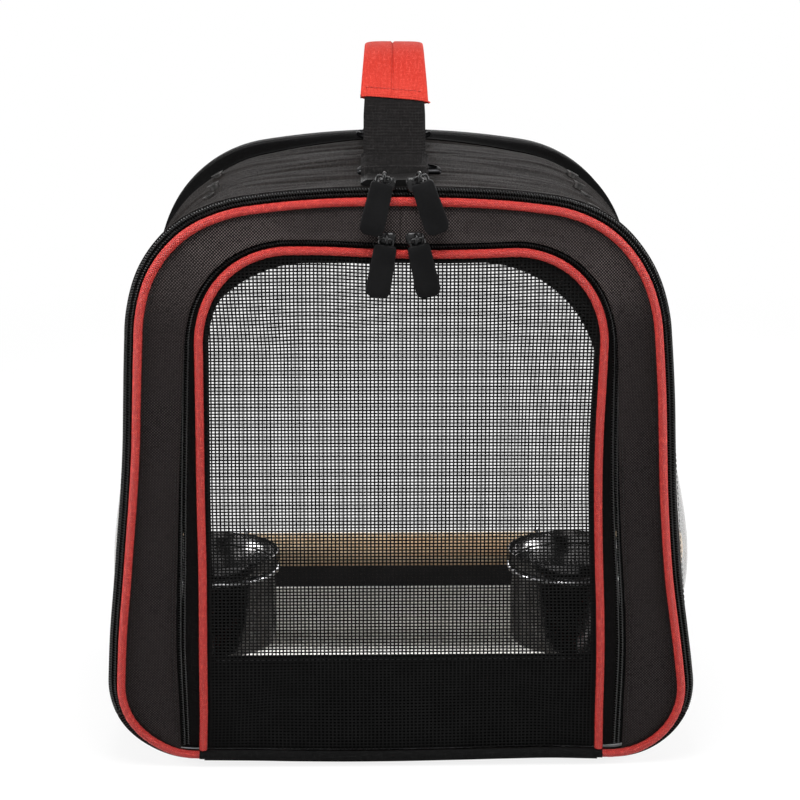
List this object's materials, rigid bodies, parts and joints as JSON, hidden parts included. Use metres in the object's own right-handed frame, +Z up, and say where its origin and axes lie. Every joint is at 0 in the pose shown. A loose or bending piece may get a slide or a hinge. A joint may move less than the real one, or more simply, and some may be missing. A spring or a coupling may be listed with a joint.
{
  "type": "bird travel carrier",
  "caption": "Soft-sided bird carrier with an arched body, zipped front panel, mesh door, clear side windows, webbing handle, perch, hanging steel cups and a steel tray.",
  "frame": {"origin": "centre of the base on the surface it stands on", "axes": "+Z up to the handle, -Y out of the front panel, +X to the right seen from the front"},
  "size_m": [0.3697, 0.2935, 0.4187],
  "materials": {
    "roof_fabric": "matt heather weave",
    "heather_fabric": "matt heather weave",
    "clear_film": "clear soft film",
    "board": "matt",
    "mesh": "coated net, satin",
    "black_tape": "ribbed tape",
    "spring_wire": "drawn wire",
    "eyelet_metal": "satin",
    "zip_tape": "woven tape with a nylon coil",
    "webbing": "ribbed webbing",
    "red_fabric": "twill weave",
    "black_plastic": "matt",
    "red_piping": "woven cover",
    "backing": "matt coated cloth",
    "dark_nickel": "dark nickel plate",
    "perch_wood": "sanded, unfinished",
    "steel_wire": "polished wire",
    "stainless": "polished stainless steel",
    "slider_metal": "black lacquer",
    "rubber_tab": "matt soft rubber"
  },
  "bodies": {
    "shell": {"roof_panel": "roof_fabric", "left_side_panel": "roof_fabric", "right_side_panel": "roof_fabric", "left_window": "clear_film", "right_window": "clear_film", "base_panel": "roof_fabric", "base_board": "board", "rear_panel": "heather_fabric", "rear_mesh": "mesh", "rear_binding": "black_tape", "front_frame_wire": "spring_wire", "rear_frame_wire": "spring_wire", "vent_eyelets": "eyelet_metal", "outer_zip_shell_half": "zip_tape", "front_ring_anchor": "webbing", "rear_ring_anchor": "webbing", "left_perch_cradle": "black_plastic", "right_perch_cradle": "black_plastic", "cradle_rivets": "eyelet_metal"},
    "front_panel": {"front_panel": "heather_fabric", "outer_piping": "red_piping", "outer_zip_panel_half": "zip_tape", "inner_zip_panel_half": "zip_tape"},
    "mesh_door": {"door_mesh": "mesh", "door_kick_panel": "backing", "inner_piping": "red_piping", "inner_zip_door_half": "zip_tape"},
    "outer_left_slider": {"outer_left_slider": "slider_metal"},
    "outer_right_slider": {"outer_right_slider": "slider_metal"},
    "inner_left_slider": {"inner_left_slider": "slider_metal"},
    "inner_right_slider": {"inner_right_slider": "slider_metal"},
    "outer_left_pull": {"outer_left_link": "slider_metal", "outer_left_tab": "rubber_tab"},
    "outer_right_pull": {"outer_right_link": "slider_metal", "outer_right_tab": "rubber_tab"},
    "inner_left_pull": {"inner_left_link": "slider_metal", "inner_left_tab": "rubber_tab"},
    "inner_right_pull": {"inner_right_link": "slider_metal", "inner_right_tab": "rubber_tab"},
    "handle": {"handle_strap": "webbing", "handle_grip": "red_fabric"},
    "front_ring": {"front_ring": "dark_nickel"},
    "rear_ring": {"rear_ring": "dark_nickel"},
    "perch": {"perch": "perch_wood"},
    "left_cup_holder": {"left_cup_holder": "steel_wire"},
    "right_cup_holder": {"right_cup_holder": "steel_wire"},
    "left_cup": {"left_cup": "stainless"},
    "right_cup": {"right_cup": "stainless"},
    "tray": {"tray": "stainless"}
  },
  "joints": [
    {"name": "front_panel_swing", "type": "hinge", "parent": "shell", "child": "front_panel", "pos_m": [0, -0.1431, 0.0015], "axis": [1, 0, 0], "range_deg": [0, 85]},
    {"name": "mesh_door_swing", "type": "hinge", "parent": "front_panel", "child": "mesh_door", "pos_m": [0, -0.1431, 0.0076], "axis": [1, 0, 0], "range_deg": [0, 85]},
    {"name": "outer_left_zip", "type": "hinge", "parent": "front_panel", "child": "outer_left_slider", "pos_m": [0, -0.14, -0.212], "axis": [0, -1, 0], "range_deg": [0, 7.5]},
    {"name": "outer_right_zip", "type": "hinge", "parent": "front_panel", "child": "outer_right_slider", "pos_m": [0, -0.14, -0.212], "axis": [0, 1, 0], "range_deg": [0, 7.5]},
    {"name": "inner_left_zip", "type": "slide", "parent": "mesh_door", "child": "inner_left_slider", "axis": [-1, 0, 0], "range_m": [0, 0.045]},
    {"name": "inner_right_zip", "type": "slide", "parent": "mesh_door", "child": "inner_right_slider", "axis": [1, 0, 0], "range_m": [0, 0.045]},
    {"name": "outer_left_pull_lift", "type": "hinge", "parent": "outer_left_slider", "child": "outer_left_pull", "pos_m": [-0.0095, -0.1489, 0.3565], "axis": [-0.9724, 0, 0.2334], "range_deg": [0, 120]},
    {"name": "outer_right_pull_lift", "type": "hinge", "parent": "outer_right_slider", "child": "outer_right_pull", "pos_m": [0.0105, -0.1489, 0.3565], "axis": [-0.9472, 0, -0.3206], "range_deg": [0, 120]},
    {"name": "inner_left_pull_lift", "type": "hinge", "parent": "inner_left_slider", "child": "inner_left_pull", "pos_m": [-0.008, -0.145, 0.3202], "axis": [-0.9854, 0, 0.1702], "range_deg": [0, 90]},
    {"name": "inner_right_pull_lift", "type": "hinge", "parent": "inner_right_slider", "child": "inner_right_pull", "pos_m": [0.009, -0.145, 0.3202], "axis": [-0.9763, 0, -0.2164], "range_deg": [0, 90]},
    {"name": "handle_fold", "type": "hinge", "parent": "shell", "child": "handle", "pos_m": [0, 0, 0.35175], "axis": [0, 1, 0], "range_deg": [-60, 60], "deforming": ["handle_strap"]},
    {"name": "front_ring_tilt", "type": "hinge", "parent": "shell", "child": "front_ring", "pos_m": [0, -0.095, 0.35175], "axis": [1, 0, 0], "range_deg": [0, 30]},
    {"name": "rear_ring_tilt", "type": "hinge", "parent": "shell", "child": "rear_ring", "pos_m": [0, 0.095, 0.35175], "axis": [-1, 0, 0], "range_deg": [0, 30]},
    {"name": "perch_lift", "type": "slide", "parent": "shell", "child": "perch", "axis": [0, 0, 1], "range_m": [0, 0.014]},
    {"name": "left_holder_slide", "type": "slide", "parent": "perch", "child": "left_cup_holder", "axis": [1, 0, 0], "range_m": [-0.008, 0.06]},
    {"name": "right_holder_slide", "type": "slide", "parent": "perch", "child": "right_cup_holder", "axis": [-1, 0, 0], "range_m": [-0.008, 0.06]},
    {"name": "left_cup_lift", "type": "slide", "parent": "left_cup_holder", "child": "left_cup", "axis": [0, 0, 1], "range_m": [0, 0.06]},
    {"name": "right_cup_lift", "type": "slide", "parent": "right_cup_holder", "child": "right_cup", "axis": [0, 0, 1], "range_m": [0, 0.06]},
    {"name": "tray_slide", "type": "slide", "parent": "shell", "child": "tray", "axis": [0, -1, 0], "range_m": [0, 0.036]}
  ]
}
